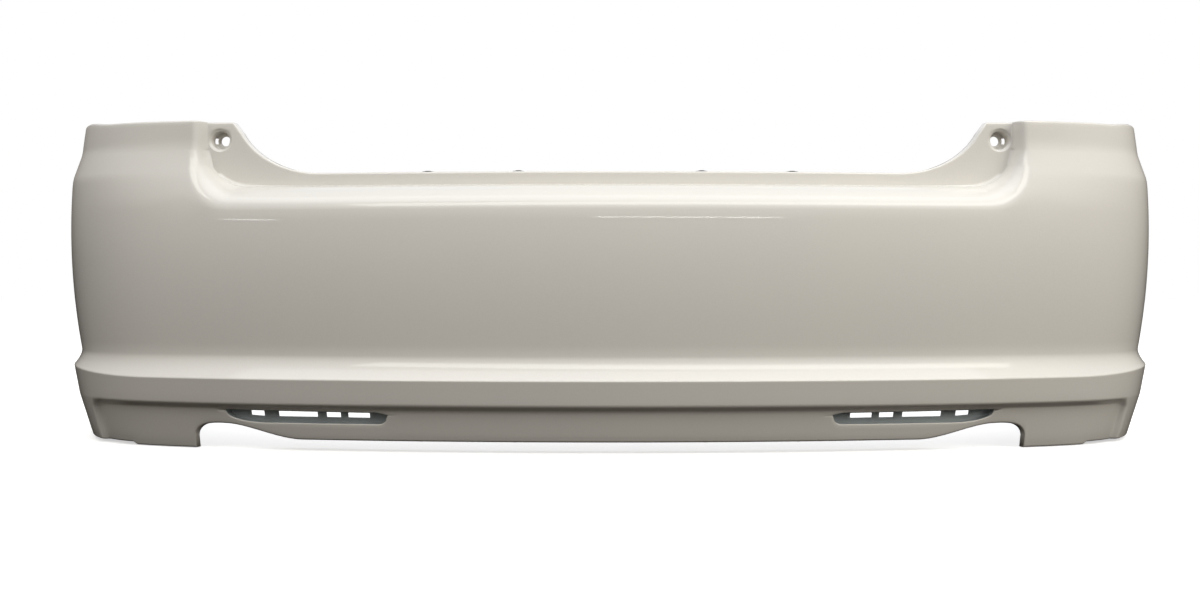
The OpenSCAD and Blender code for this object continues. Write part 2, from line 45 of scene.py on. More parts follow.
crown, crown_run = 9.0, 520.0                        # degrees that the middle turns in its first 520 mm
turn_from, turn_to, side_heading = 624.0, 1092.0, 88.0     # the corner, and the side's direction in degrees
edge_z, panel_z, ledge_z, shoulder_z = 16.0, 71.0, 141.0, 351.0
crease_z, crease_climb = 107.0, 11.0
face_mid, face_bulge, face_ledge, face_slope = 288.0, 1800.0, 21.0, 0.2      # parabola, ledge and lean of the middle
side_mid, side_bulge, side_ledge, side_slope = 330.0, 2240.0, 11.4, 0.175    # and of the sides
shoulder_in, side_in, panel_lean = 26.0, 10.0, 0.12
valley_z, sill_z, gusset_z = 391.0, 411.0, 488.0
recess_depth, recess_to, recess_r = 68.0, 620.0, 60.0
roll_tall, roll_wide = 40.0, 12.0                    # the roll into the recess, under the shelf and at the wing
gusset_from, gusset_to, gusset_bend = 445.0, 576.0, 0.98
wing_rise, wing_fall = 5.0, 97.0
slot_from, slot_to, slot_z, slot_h = 323.0, 569.0, 41.5, 17.0
notch_from, notch_peak, notch_rise = 455.0, 577.0, 23.0
notch_to, lobe_step, lobe_low, lobe_rise = recess_to + 7.5, 738.0, 3.0, 4.0
inset_to, inset_r, inset_deep = 826.0, 25.0, 8.0
arch_r, arch_z, arch_reach, arch_blend = 370.0, 83.0, 186.0, 1070.0      # wheel arch, and where the side meets it


def ease(t):
    """Smooth step from 0 to 1: three squares less two cubes."""
    u = np.clip(t, 0, 1)
    return u * u * (3 - 2 * u)


def heading(a):
    """Direction of the plan curve in radians: a mild crown, then an eased turn to the side's heading."""
    u = np.clip((a - turn_from) / (turn_to - turn_from), 0, 1)
    turn = u**3 * (u * (6 * u - 15) + 10)
    mild = crown * a / crown_run
    return np.radians(mild + (side_heading - mild) * turn)


# The plan curve is the running sum of short steps along its heading
plan_step = 5.0
plan_mid = heading((np.arange(280) + 0.5) * plan_step)
plan_at_step = np.arange(281) * plan_step
plan_x = np.concatenate([[0], np.cumsum(plan_step * np.cos(plan_mid))])
plan_y = np.concatenate([[0], np.cumsum(plan_step * np.sin(plan_mid))])


def plan(a):
    """Point of the plan curve at a distance round it."""
    return np.interp(a, plan_at_step, plan_x), np.interp(a, plan_at_step, plan_y)


def lower_edge(a):
    """Height of the lower edge: level middle, eased rise to a rounded notch, then the outer lobe and its step."""
    u = np.clip((a - notch_peak) / (notch_to - notch_peak), 0, 1)
    middle = edge_z + notch_rise * ease((a - notch_from) / (notch_peak - notch_from))
    rounded = lobe_low + (edge_z + notch_rise - lobe_low) * (1 - u**3) ** (1 / 3)
    lobe = lobe_rise * ease((a - lobe_step) / 10) * (1 - ease((a - 930) / 100))
    return np.where(a >= notch_to, lobe, np.where(a > notch_peak, rounded, middle))


def upper_edge(a):
    """Height of the upper edge: sill strip, gusset hollowed as part of an ellipse, then the wing."""
    u = np.clip((a - gusset_from) / (gusset_to - gusset_from), 0, 1)
    hollow = (1 - np.sqrt(1 - (gusset_bend * u) ** 2)) / (1 - np.sqrt(1 - gusset_bend**2))
    return (sill_z + (gusset_z - sill_z) * hollow + wing_rise * ease((a - 780) / 80)
            - wing_fall * ease((a - 880) / (half_girth - 880)))


def crease(a):
    """Height of the sharp crease, which climbs a little round the corners."""
    return crease_z + crease_climb * ease((a - 700) / 250)


def slot_lips(a):
    """Lower and upper lip of the reflector slot: an ellipse quarter at each end of a level lower lip."""
    t = np.clip((a - slot_from) / (slot_to - slot_from), 0, 1)
    inner = 12 * (1 - np.sqrt(1 - np.clip(1 - t / 0.06, 0, 1) ** 2))
    outer = (slot_h - 0.5) * (1 - np.sqrt(1 - np.clip((t - 0.75) / 0.25, 0, 1) ** 2))
    return slot_z + inner + outer, slot_z + slot_h + 2 * t - 3 * np.clip(1 - t / 0.06, 0, 1)


def face_depth(a, z):
    """Depth of the plain face behind the plan curve. In the middle it is a parabola with a ledge below it that ends
    in the crease, a band that leans in under the crease, and a roll at the top. Round the sides a flatter parabola
    with a smaller ledge takes over. A panel along the bottom is set in 8 mm, with rounded ends."""
    e, c = ease((a - 500) / 400), crease(a)
    bow, at_ledge, at_shoulder = ((h - face_mid) ** 2 / face_bulge for h in (z, ledge_z, shoulder_z - 3))
    step = np.clip((ledge_z - z) / (ledge_z - c), 0, 1) ** 1.8
    under = np.maximum(0, c - z)
    rolled = at_shoulder + shoulder_in * ease((z - shoulder_z + 3) / 115)
    middle = np.where(z < ledge_z, at_ledge - face_ledge * step + face_slope * under,
                      np.where(z > shoulder_z - 3, rolled, bow))
    side = np.where(z < ledge_z, (ledge_z - side_mid) ** 2 / side_bulge - side_ledge * step + side_slope * under,
                    (z - side_mid) ** 2 / side_bulge + side_in * ease((z - 400) / 55))
    p, r = a - (inset_to - inset_r), z - (panel_z - inset_r)
    inset = np.hypot(np.maximum(p, 0), np.maximum(r, 0)) - inset_r + np.minimum(np.maximum(p, r), 0)
    return middle + (side - middle) * e + panel_lean * np.maximum(0, panel_z - z) + inset_deep * ease(-inset / 10)


def softened_depth(a, z):
    """The face averaged over 1.6 mm above and below, which gives the crease its small radius."""
    reach = np.array([-1.6, -0.8, 0, 0.8, 1.6])
    weight = np.array([1, 3, 4, 3, 1]) / 12
    return sum(w * face_depth(a, z + q) for q, w in zip(reach, weight))


# The recess floor follows the crown to 430 mm, then levels out over about 90 mm so that the gussets face backwards
level_from, level_run, steepest = 430.0, 90.0, np.radians(68)


def skin_point(s, z, inward=0.0):
    """Point on the outer surface in millimetres. The boot recess is a rounded rectangle in the (distance, height)
    plane: inside it the depth is the recess floor's, and round it the face rolls in as a quarter ellipse that is
    40 mm tall under the shelf and 12 mm wide at the wing. The sides are drawn in to end on the wheel-arch circle."""
    a, p, r = np.abs(s), np.abs(s) - (recess_to - recess_r), valley_z + recess_r - z
    p0, r0 = np.maximum(p, 0), np.maximum(r, 0)
    far = np.maximum(np.hypot(p0, r0), 1e-9)
    q = far - recess_r + np.minimum(np.maximum(p, r), 0)
    corner = (p > 0) & (r > 0)
    out_a = np.where(corner, p0 / far, np.where(p > r, 1.0, 0.0))
    out_z = np.where(corner, r0 / far, np.where(p > r, 0.0, 1.0))
    w = roll_wide + (roll_tall - roll_wide) * out_z**2
    t = np.clip(q / w, 0, 1)
    shift = np.where((q > 0) & (q < w), w * (1 - np.cos(np.pi * t / 2)) - q, 0)
    a2, z2 = a + out_a * shift, z - out_z * shift
    k = np.where(q <= 0, 1, 1 - np.sin(np.pi * t / 2))
    level = np.where(a2 < level_from, a2,
                     level_from + level_run * (1 - np.exp(np.minimum(0, level_from - a2) / level_run)))
    floor = (recess_depth + plan(level)[1] - plan(a2)[1]) / np.cos(np.minimum(heading(a2), steepest))
    face = softened_depth(a2, z2)
    depth = face + (floor - face) * k + inward
    arch = half_girth + arch_reach - np.sqrt(arch_r**2 - np.clip(np.abs(z2 - arch_z), 0, arch_r - 1) ** 2)
    drawn_in = arch_blend + (a2 - arch_blend) * (arch - arch_blend) / (half_girth - arch_blend)
    a3 = np.where(a2 > arch_blend, drawn_in, a2)
    x, y = plan(a3)
    h = heading(a3)
    return np.stack([np.sign(s) * (x - np.sin(h) * depth), y + np.cos(h) * depth, z2], -1)


# The row frame's Y is centred between the foremost crease and the wheel-arch ends
arch_flange = 24.0
front_y = (ledge_z - face_mid) ** 2 / face_bulge - face_ledge
back_y = skin_point(np.array(half_girth), upper_edge(half_girth), arch_flange)[1]
mid_y = (front_y + back_y) / 2


def in_frame(p):
    """Millimetres about the plan curve to metres in the row frame."""
    return (p - [0, mid_y, 0]) / 1000


def bent(a, z):
    """Grid lines near the recess corner turned from square to round, so that they follow its outline."""
    p, r = a - (recess_to - recess_r), valley_z + recess_r - z
    m = np.maximum(np.maximum(p, r), 1e-9)
    turn = np.pi / 4 * np.where(p > r, r / m, 2 - p / m)
    b = np.where((p > 0) & (r > 0), 1 - ease((m - recess_r - 15) / (recess_r + 15)), 0)
    return (a + b * (m * np.cos(turn) - p), z - b * (m * np.sin(turn) - r))


# Corner cups: a stepped round pocket in each gusset, with a fixing hole and a small window beside it
cup_x, cup_z, cup_block = 588.0, 461.0, 19.5
hole_r, window_near, window_far, window_half, hole_inboard, cup_rim = 7.5, 10.2, 13.2, 5.6, 3.0, 17.6
fade_below = 3.0                                     # the block's further reach below the cup
cup_rings = np.array([hole_r, window_near, window_far, 14.0, 14.3, 14.9, 16.3, 17.0, cup_rim, 18.5, cup_block])
cup_radius = np.array([hole_r, window_near, window_far, 13.8, 14.0, 14.4, 16.6, 17.1, cup_rim, 18.5, cup_block])
cup_sink = np.array([17.0, 17.0, 17.0, 16.4, 3.0, 1.6, 1.5, 0.5, 0.0, 0.0, 0.0])
on_floor = np.linspace(570, 615, 91)
cup_a = float(np.interp(cup_x, skin_point(on_floor, cup_z + 0 * on_floor)[:, 0], on_floor))
cup_lines = np.concatenate([[0, 1.9, 3.8, window_half], cup_rings])
cup_lines = np.concatenate([-cup_lines[:0:-1], cup_lines])


def cupped(a, z, a0, z0):
    """Rings round the cup axis: the distance in the square sense picks a radius and a sink from the cup's profile,
    and the rings fade back to the plain grid at the edge of the block, more slowly below, where the grid bends. The
    hole sits 3 mm inboard."""
    u, v = a0 - cup_a, z0 - cup_z
    m = np.maximum(np.abs(u), np.abs(v))
    limit = cup_block + fade_below * np.clip(-v / cup_block, 0, 1)
    swap = np.abs(v) > np.abs(u)
    turn = np.pi / 4 * np.where(swap, u, v) / np.maximum(m, 1e-9)
    lead = np.where(swap, np.sign(v), np.sign(u))
    radius = np.interp(m, cup_rings, cup_radius) * np.where(m < hole_r, m / hole_r, 1)
    cu = np.where(swap, radius * np.sin(turn), lead * radius * np.cos(turn))
    cv = np.where(swap, lead * radius * np.cos(turn), radius * np.sin(turn))
    cu = cu - hole_inboard * np.clip((window_far - m) / (window_far - hole_r), 0, 1)
    b = 1 - ease((m - cup_rim) / (limit - cup_rim))
    sink = np.where(m < cup_block, np.interp(m, cup_rings, cup_sink), 0)
    return a + b * (cup_a + cu - a), z + b * (cup_z + cv - z), sink


# Stations round one half, in even steps between the features that need a grid line of their own
def steps(low, high, count):
    """Even stations from low, short of high."""
    return np.linspace(low, high, count, endpoint=False)


def quarter_turn(radius, count):
    """Quarter circle of an edge: how far its grid lines stand from the edge, and how far each is tucked in."""
    angle = np.linspace(0, np.pi / 2, count)
    return radius * (1 - np.sin(angle)), radius * (1 - np.cos(angle))


edge_r, lip_r = 3.1, 1.8
edge_drop, edge_tuck = quarter_turn(edge_r, 5)
lip_drop, lip_tuck = quarter_turn(lip_r, 4)
roll_steps = np.array([0, 1.5, 3, 4.5, 6, 7.5, 9, 10.5, 12, 14.5, 18, 22, 26, 30, 35, 40])
half_s = np.concatenate([
    steps(0, slot_from - 2, 22), [slot_from - 2], steps(slot_from, slot_from + 15, 7),
    steps(slot_from + 15, notch_from, 11), steps(notch_from, 555, 14), steps(555, slot_to, 5), [slot_to],
    cup_a + cup_lines[:-1], recess_to + roll_steps,
    steps(666, lobe_step, 8), lobe_step + np.array([0, 2.5, 5, 7.5, 10]), steps(756, inset_to - 12, 6),
    inset_to - np.array([12, 10, 8, 6, 4, 2, 0]),
    steps(inset_to + 6, 1100, 26), steps(1100, half_girth - edge_r, 16), half_girth - edge_drop,
    np.full(4, half_girth)])
half_tuck = np.concatenate([np.zeros(len(half_s) - 9), edge_tuck, [7, 12, 18, arch_flange]])
station = np.concatenate([-half_s[:0:-1], half_s])
station_tuck = np.concatenate([half_tuck[:0:-1], half_tuck])

# Heights of the grid lines at each station, from the back of the lower flange to the back of the upper one
a = np.abs(station)
low, top, line = lower_edge(a), upper_edge(a), crease(a)
slot_low, slot_high = slot_lips(a)
in_slot = (a > slot_from - 0.1) & (a < slot_to + 0.1)
shoulder_steps = np.array([40, 35, 30, 26, 22, 18, 14.5, 12, 10, 8, 6, 4.5, 3, 1.5, 0])
gusset_steps = np.concatenate([[6, 13, 20], cup_z + cup_lines - valley_z])
height, tuck = [], []


def add_rows(z, inward=0.0):
    """One grid line across all the stations at the given heights, tucked in by the given amount."""
    height.append(z + 0 * a)
    tuck.append(inward + 0 * a)


# The lower flange is 38 mm deep, and only 12 mm round the notch
flange_deep = 38 - 26 * ease((a - 530) / 45) * (1 - ease((a - 650) / 45))
for f in (1, 0.68, 0.4, 0.17):
    add_rows(low, edge_r + f * (flange_deep - edge_r))
for drop, q in zip(edge_drop[::-1], edge_tuck[::-1]):
    add_rows(low + drop, q)
flat_from = low + edge_r
for f in (0.35, 0.7):
    add_rows(flat_from + f * (slot_low - lip_r - flat_from))
for drop, q in zip(lip_drop, lip_tuck):
    add_rows(slot_low - drop, q * in_slot)
slot_row = len(height) - 1
for drop, q in zip(lip_drop[::-1], lip_tuck[::-1]):
    add_rows(slot_high + drop, q * in_slot)
for f in (0.2, 0.4, 0.6, 0.8, 1, 1.2):
    add_rows(slot_high + lip_r + f * (panel_z - slot_high - lip_r))
for f in (0.4, 0.7):
    add_rows(panel_z + 2 + f * (line - panel_z - 2))
for q in (-4, -2.4, -1.6, -0.8, 0, 0.8, 1.6, 2.4, 4):
    add_rows(line + q)
for f in (0.3, 0.5, 0.7, 0.85, 1):
    add_rows(line + 2 + f * (ledge_z - line - 2))
for f in np.arange(1, 14) / 14:
    add_rows(ledge_z + f * (shoulder_z - ledge_z))
for q in shoulder_steps:
    add_rows(valley_z - q)
for q in gusset_steps:
    add_rows(valley_z + (top - edge_r - valley_z) * q / (gusset_z - edge_r - valley_z))
for drop, q in zip(edge_drop, edge_tuck):
    add_rows(top - drop, q)
top_flange = np.where(a < 440, 28, 14)
for f in (0.35, 0.65, 1):
    add_rows(top, edge_r + f * (top_flange - edge_r))
height, tuck = np.array(height).T, np.maximum(np.array(tuck).T, station_tuck[:, None])
rows, flange_rows = height.shape[1], 4
a0, z0 = np.broadcast_to(a[:, None], height.shape), height
a1, z1, sink = cupped(*bent(a0, z0), a0, z0)
skin_points = skin_point(np.where(station < 0, -1, 1)[:, None] * a1, z1, tuck)
skin_points[..., 1] += sink
skin_points[len(half_s) - 1, :, 0] = 0

# Cells left open: the slots, the corners between the flanges, the cup's hole and window, and the flange above
# the place where gusset and wing meet
mid_a, mid_z = (a0[1:, 1:] + a0[:-1, :-1]) / 2, (z0[1:, 1:] + z0[:-1, :-1]) / 2
row_number = np.arange(rows - 1) + 0 * mid_a
at_end = np.minimum(a[1:], a[:-1])[:, None] >= half_girth - 0.01
keep = ~((row_number == slot_row) & (mid_a > slot_from) & (mid_a < slot_to))
on_top_flange = row_number > rows - flange_rows - 1
keep &= ~(at_end & ((row_number < flange_rows) | on_top_flange))
keep &= ~(on_top_flange & (mid_a > gusset_to + 30) & (mid_a < recess_to + 20))
du, dv = mid_a - cup_a, mid_z - cup_z
keep &= np.maximum(np.abs(du), np.abs(dv)) > hole_r
keep &= ~((du > window_near) & (du < window_far) & (np.abs(dv) < window_half))


def grid_piece(name, points, kept=None, closed=False):
    """Smooth mesh over a grid of points: each kept cell is one quad, which faces along the cross product of the
    grid's first and second directions. A closed grid joins its last row of cells to its first."""
    m, n = points.shape[:2]
    i, j = np.meshgrid(np.arange(m if closed else m - 1), np.arange(n - 1), indexing="ij")
    quads = np.stack([i * n + j, (i + 1) % m * n + j, (i + 1) % m * n + j + 1, i * n + j + 1], -1)
    quads = quads[kept] if kept is not None else quads.reshape(-1, 4)
    used, quads = np.unique(quads, return_inverse=True)
    mesh = bpy.data.meshes.new(name)
    mesh.from_pydata(points.reshape(-1, 3)[used], [], quads.reshape(-1, 4))
    mesh.shade_smooth()
    obj = bpy.data.objects.new(name, mesh)
    bpy.context.collection.objects.link(obj)
    return obj


skin = grid_piece("painted_skin", in_frame(skin_points), keep)
shell = skin.modifiers.new("wall", "SOLIDIFY")
shell.thickness, shell.offset = wall / 1000, -1
shell.material_offset, shell.material_offset_rim = 1, 0
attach(skin, "cover")
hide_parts("bumper_skin")


def linear(hex_colour):
    """sRGB hex to linear RGBA."""
    c = np.array([int(hex_colour[k:k + 2], 16) for k in (1, 3, 5)]) / 255
    return (*np.where(c <= 0.04045, c / 12.92, ((c + 0.055) / 1.055) ** 2.4), 1.0)


def add_node(tree, kind, inputs=None, **settings):
    """Adds a node with its settings. An input takes a value, or another node's output to link."""
    node = tree.nodes.new(kind)
    for key, value in settings.items():
        setattr(node, key, value)
    for key, value in (inputs or {}).items():
        if isinstance(value, bpy.types.NodeSocket):
            tree.links.new(value, node.inputs[key])
        else:
            node.inputs[key].default_value = value
    return node


def new_material(name):
    """Empty material, with its tree, its output and the piece's Object coordinates."""
    mat = bpy.data.materials.new(name)
    mat.use_nodes = True
    tree = mat.node_tree
    tree.nodes.clear()
    output, coordinates = tree.nodes.new("ShaderNodeOutputMaterial"), tree.nodes.new("ShaderNodeTexCoord")
    return mat, tree, output, coordinates.outputs["Object"]


# Pearl white automotive paint, sprayed: a white base, a thin pearl coat of mica flake and a clear lacquer. The
# lacquer gives sharp reflections over a soft milky body, with a faint orange peel of 4 mm and a slow 120 mm wave
# that is left from the mould. The flake is far too fine to show, so it is drawn as 1.2 mm cells that differ by 2%.
flake_size, peel_size, wave_size = 0.0012, 0.004, 0.12
paint, tree, out, place = new_material("pearl_white_lacquered_paint")
flake = add_node(tree, "ShaderNodeTexVoronoi", {"Vector": place, "Scale": 1 / flake_size})
cloud = add_node(tree, "ShaderNodeTexNoise", {"Vector": place, "Scale": 5, "Detail": 3, "Roughness": 0.55})
sparkle = add_node(tree, "ShaderNodeSeparateColor", {"Color": flake.outputs["Color"]})
body = add_node(tree, "ShaderNodeMix", {
    "Factor": sparkle.outputs["Red"], "A": linear("#E2DFDA"), "B": linear("#E7E4DF")}, data_type="RGBA")
tone = add_node(tree, "ShaderNodeMix", {
    "Factor": cloud.outputs["Fac"], "A": body.outputs["Result"], "B": linear("#E9E5DD")}, data_type="RGBA")
peel = add_node(tree, "ShaderNodeTexNoise", {"Vector": place, "Scale": 1 / peel_size, "Detail": 1})
wave = add_node(tree, "ShaderNodeTexNoise", {"Vector": place, "Scale": 1 / wave_size, "Detail": 1})
ripple = add_node(tree, "ShaderNodeBump", {"Height": wave.outputs["Fac"], "Strength": 0.25, "Distance": 0.0006})
skin_bump = add_node(tree, "ShaderNodeBump", {"Height": peel.outputs["Fac"], "Strength": 0.12, "Distance": 0.00006,
                                              "Normal": ripple.outputs["Normal"]})
haze = add_node(tree, "ShaderNodeMapRange", {"Value": cloud.outputs["Fac"], "To Min": 0.36, "To Max": 0.46})
lacquer = add_node(tree, "ShaderNodeBsdfPrincipled", {
    "Base Color": tone.outputs["Result"], "Roughness": haze.outputs["Result"], "IOR": 1.5, "Coat Weight": 1.0,
    "Coat Roughness": 0.04, "Coat IOR": 1.5, "Coat Normal": skin_bump.outputs["Normal"],
    "Normal": ripple.outputs["Normal"]})
tree.links.new(lacquer.outputs["BSDF"], out.inputs["Surface"])
skin.data.materials.append(paint)

# The inside is the bare moulding: dark grey talc-filled polypropylene with a fine spark texture of 0.8 mm, drawn at
# 2 mm, and a pale dusting of overspray in clouds about 140 mm wide.
spark_size, dusting_size = 0.002, 1 / 7
raw, tree, out, place = new_material("raw_moulded_polypropylene")
grain = add_node(tree, "ShaderNodeTexNoise", {"Vector": place, "Scale": 1 / spark_size, "Detail": 2})
spray = add_node(tree, "ShaderNodeTexNoise", {
    "Vector": place, "Scale": 1 / dusting_size, "Detail": 4, "Roughness": 0.6})
dusted = add_node(tree, "ShaderNodeMapRange", {
    "Value": spray.outputs["Fac"], "From Min": 0.42, "From Max": 0.75, "To Min": 0.0, "To Max": 0.45})
back = add_node(tree, "ShaderNodeMix", {
    "Factor": dusted.outputs["Result"], "A": linear("#3B3D3F"), "B": linear("#8D8C88")}, data_type="RGBA")
fine = add_node(tree, "ShaderNodeBump", {"Height": grain.outputs["Fac"], "Strength": 0.35, "Distance": 0.0002})
dull = add_node(tree, "ShaderNodeMapRange", {"Value": grain.outputs["Fac"], "To Min": 0.55, "To Max": 0.72})
moulding = add_node(tree, "ShaderNodeBsdfPrincipled", {
    "Base Color": back.outputs["Result"], "Roughness": dull.outputs["Result"], "IOR": 1.49,
    "Normal": fine.outputs["Normal"]})
tree.links.new(moulding.outputs["BSDF"], out.inputs["Surface"])
skin.data.materials.append(raw)

# ------------------------------------------------------------------ reflector trays
# A slim dished insert behind each slot, moulded in unpainted blue-grey polypropylene, 2 mm thick. It takes the
# reflector, which isn't fitted. Four windows in its floor are for the reflector's clips.
window_from, window_to = np.array([353.5, 397.5, 433, 516]), np.array([386.5, 419.5, 493.5, 537])
tray_sheet, tray_gap = 0.002, wall + 0.8             # sheet in metres, and the rim's distance from the painted face
tray_a = np.unique(np.concatenate([
    slot_from + np.array([-13, -9, -5, -1, 0, 1, 2.5, 4.5, 7, 10, 14, 20, 26]),
    np.arange(window_from[0], window_from[-1], 6.5), window_from, window_to,
    slot_to - np.array([21, 18, 15, 12, 9, 6.5, 4.5, 2.5, 1, 0]), slot_to + np.array([1, 5, 9, 13])]))
tray_a = tray_a[np.append(np.diff(tray_a) > 0.9, True) | np.isin(tray_a, np.concatenate([window_from, window_to]))]

# Heights of its grid lines, from the lower rim over the floor to the upper rim, and how far each stands in
tray_low, tray_high = slot_lips(tray_a)
sill, lintel = np.minimum(7.5, 0.42 * (tray_high - tray_low)), np.minimum(2.5, (tray_high - tray_low) / 6)
dished = (tray_a > slot_from - 0.5) & (tray_a < slot_to + 0.5)
tray_z = np.stack([
    tray_low - 5, tray_low - 3, tray_low - 1.2, tray_low - 0.9, tray_low - 0.7, tray_low - 0.6,
    tray_low + sill / 2, tray_low + sill, (tray_low + sill + tray_high - lintel) / 2, tray_high - lintel,
    tray_high, tray_high + 0.6, tray_high + 0.7, tray_high + 0.9, tray_high + 1.2, tray_high + 3,
    np.minimum(tray_high + 7, panel_z - 6)], 1)
window_cells = slice(7, 9)
tray_in = np.array([0, 0, 0, 1, 6, 11.2, 12.2, 12.4, 12.5, 12.6, 12.8, 12.0, 6, 1, 0, 0, 0]) * dished[:, None]
tray_in = tray_in + np.array([0] * 15 + [1.2, 3])
centre_a = (tray_a[1:] + tray_a[:-1]) / 2
in_window = np.any((centre_a[:, None] > window_from) & (centre_a[:, None] < window_to), 1)
tray_keep = np.ones((len(tray_a) - 1, tray_z.shape[1] - 1), bool)
tray_keep[in_window, window_cells] = False
trays = []
for side, name in ((-1, "reflector_tray_left"), (1, "reflector_tray_right")):
    points = skin_point(side * (tray_a[:, None] + 0 * tray_z), tray_z, tray_gap + tray_in)
    tray = grid_piece(name + "_insert", in_frame(points[::side]), tray_keep[::side])
    sheet = tray.modifiers.new("wall", "SOLIDIFY")
    sheet.thickness, sheet.offset = tray_sheet, -1
    soften = tray.modifiers.new("moulded_edges", "BEVEL")
    soften.width, soften.segments, soften.limit_method, soften.angle_limit = 0.0004, 2, "ANGLE", np.radians(40)
    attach(tray, "cover")
    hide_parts(name)
    trays.append(tray)

# Blue-grey moulded polypropylene, satin from the mould: a soft sheen with a fine 1 mm grain, drawn at 1.5 mm
grain_size = 0.0015
insert, tree, out, place = new_material("blue_grey_moulded_polypropylene")
mould_grain = add_node(tree, "ShaderNodeTexNoise", {"Vector": place, "Scale": 1 / grain_size, "Detail": 2})
flow = add_node(tree, "ShaderNodeTexNoise", {"Vector": place, "Scale": 30, "Detail": 3})
tint = add_node(tree, "ShaderNodeMix", {
    "Factor": flow.outputs["Fac"], "A": linear("#A3ABAE"), "B": linear("#B9C0C2")}, data_type="RGBA")
grained = add_node(tree, "ShaderNodeBump", {
    "Height": mould_grain.outputs["Fac"], "Strength": 0.25, "Distance": 0.0001})
sheen = add_node(tree, "ShaderNodeMapRange", {"Value": mould_grain.outputs["Fac"], "To Min": 0.33, "To Max": 0.5})
satin = add_node(tree, "ShaderNodeBsdfPrincipled", {
    "Base Color": tint.outputs["Result"], "Roughness": sheen.outputs["Result"], "IOR": 1.49,
    "Normal": grained.outputs["Normal"]})
tree.links.new(satin.outputs["BSDF"], out.inputs["Surface"])
for tray in trays:
    tray.data.materials.append(insert)

# Stakes moulded on the inside of the lower panel, which the trays are pushed over: 3 mm pins with a rounded tip. They
# are raw moulding, and their rings are spring steel. The profile gives the radius and the distance from the wall.
stake_profile = np.array([[0, -1.5], [1.5, -1.5], [1.5, 4], [1.5, 6.3], [1.3, 6.75], [0.8, 6.97], [0, 7]])
spin = np.linspace(0, 2 * np.pi, 24, endpoint=False)[:, None]
stakes = []
for side in (-1, 1):
    for sa, sz in ((slot_from - 8, slot_z + 10.5), (slot_to + 8, slot_z + 17.5)):
        foot, turn = skin_point(np.array(side * sa), np.array(sz), wall), side * heading(sa)
        across, along = np.array([np.cos(turn), np.sin(turn), 0]), np.array([-np.sin(turn), np.cos(turn), 0])
        r, h = stake_profile.T
        ring = (np.cos(spin) * r)[..., None] * across + (np.sin(spin) * r)[..., None] * [0, 0, 1] + h[:, None] * along
        stakes.append(grid_piece(f"tray_stake_{len(stakes) + 1}", in_frame(foot + ring)[::-1], closed=True))
for stake in stakes:
    merge = stake.modifiers.new("tip", "WELD")
    merge.merge_threshold = 0.00001
    stake.data.materials.append(raw)
    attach(stake, "cover")

# ------------------------------------------------------------------ side rails
# Flat plate brackets inside each side, injection moulded in black glass-filled nylon: stiff and dull, with a faint
# flow pattern and pale specks of fibre, drawn 1.6 mm apart. Their tabs are screwed up into the upper flange.
fibre_gap = 0.0016
glass_nylon, tree, out, place = new_material("black_glass_filled_nylon")
fibre = add_node(tree, "ShaderNodeTexVoronoi", {"Vector": place, "Scale": 1 / fibre_gap})
fleck = add_node(tree, "ShaderNodeMapRange", {
    "Value": fibre.outputs["Distance"], "From Min": 0.0, "From Max": 0.35, "To Min": 0.5, "To Max": 0.0})
eddies = add_node(tree, "ShaderNodeTexNoise", {"Vector": place, "Scale": 22, "Detail": 3})
nylon = add_node(tree, "ShaderNodeMix", {
    "Factor": fleck.outputs["Result"], "A": linear("#222325"), "B": linear("#3A3B3D")}, data_type="RGBA")
etched = add_node(tree, "ShaderNodeBump", {"Height": fibre.outputs["Distance"], "Strength": 0.3, "Distance": 0.00015})
rough = add_node(tree, "ShaderNodeMapRange", {"Value": eddies.outputs["Fac"], "To Min": 0.48, "To Max": 0.68})
shader = add_node(tree, "ShaderNodeBsdfPrincipled", {
    "Base Color": nylon.outputs["Result"], "Roughness": rough.outputs["Result"], "IOR": 1.53,
    "Normal": etched.outputs["Normal"]})
tree.links.new(shader.outputs["BSDF"], out.inputs["Surface"])


def finish_nodes(material, *names):
    """Gives the material to every slot of the named solids, which keep their own meshes."""
    for name in names:
        mesh = nodes[name].data
        if not mesh.materials:
            mesh.materials.append(material)
        for index in range(len(mesh.materials)):
            mesh.materials[index] = material


finish_nodes(glass_nylon, "side_rail_left", "side_rail_right")

# ------------------------------------------------------------------ pressed stiffeners
# Strips under the sill flange and over the lower flange, and a plate behind each gusset, pressed from 2 to 2.5 mm
# galvanised sheet: spangle patches 12 mm wide in slightly different greys, with faint rolling lines 3 mm apart that
# run along the strips for about 250 mm.
spangle_size, rolling_length, rolling_gap = 0.012, 0.25, 1 / 300
galvanised, tree, out, place = new_material("galvanised_pressed_steel")
spangle = add_node(tree, "ShaderNodeTexVoronoi", {"Vector": place, "Scale": 1 / spangle_size})
patch = add_node(tree, "ShaderNodeSeparateColor", {"Color": spangle.outputs["Color"]})
stretch = add_node(tree, "ShaderNodeMapping", {
    "Vector": place, "Scale": (1 / rolling_length, 1 / rolling_gap, 1 / rolling_gap)})
rolled = add_node(tree, "ShaderNodeTexNoise", {"Vector": stretch.outputs["Vector"], "Scale": 1, "Detail": 2})
zinc = add_node(tree, "ShaderNodeMix", {
    "Factor": patch.outputs["Red"], "A": linear("#A3A7A9"), "B": linear("#BFC2C2")}, data_type="RGBA")
lines = add_node(tree, "ShaderNodeBump", {"Height": rolled.outputs["Fac"], "Strength": 0.2, "Distance": 0.0001})
dulled = add_node(tree, "ShaderNodeMapRange", {"Value": patch.outputs["Green"], "To Min": 0.3, "To Max": 0.46})
shader = add_node(tree, "ShaderNodeBsdfPrincipled", {
    "Base Color": zinc.outputs["Result"], "Roughness": dulled.outputs["Result"], "Metallic": 1.0,
    "Normal": lines.outputs["Normal"]})
tree.links.new(shader.outputs["BSDF"], out.inputs["Surface"])
finish_nodes(galvanised, "sill_stiffener", "valance_stiffener", "corner_stiffener_left", "corner_stiffener_right")

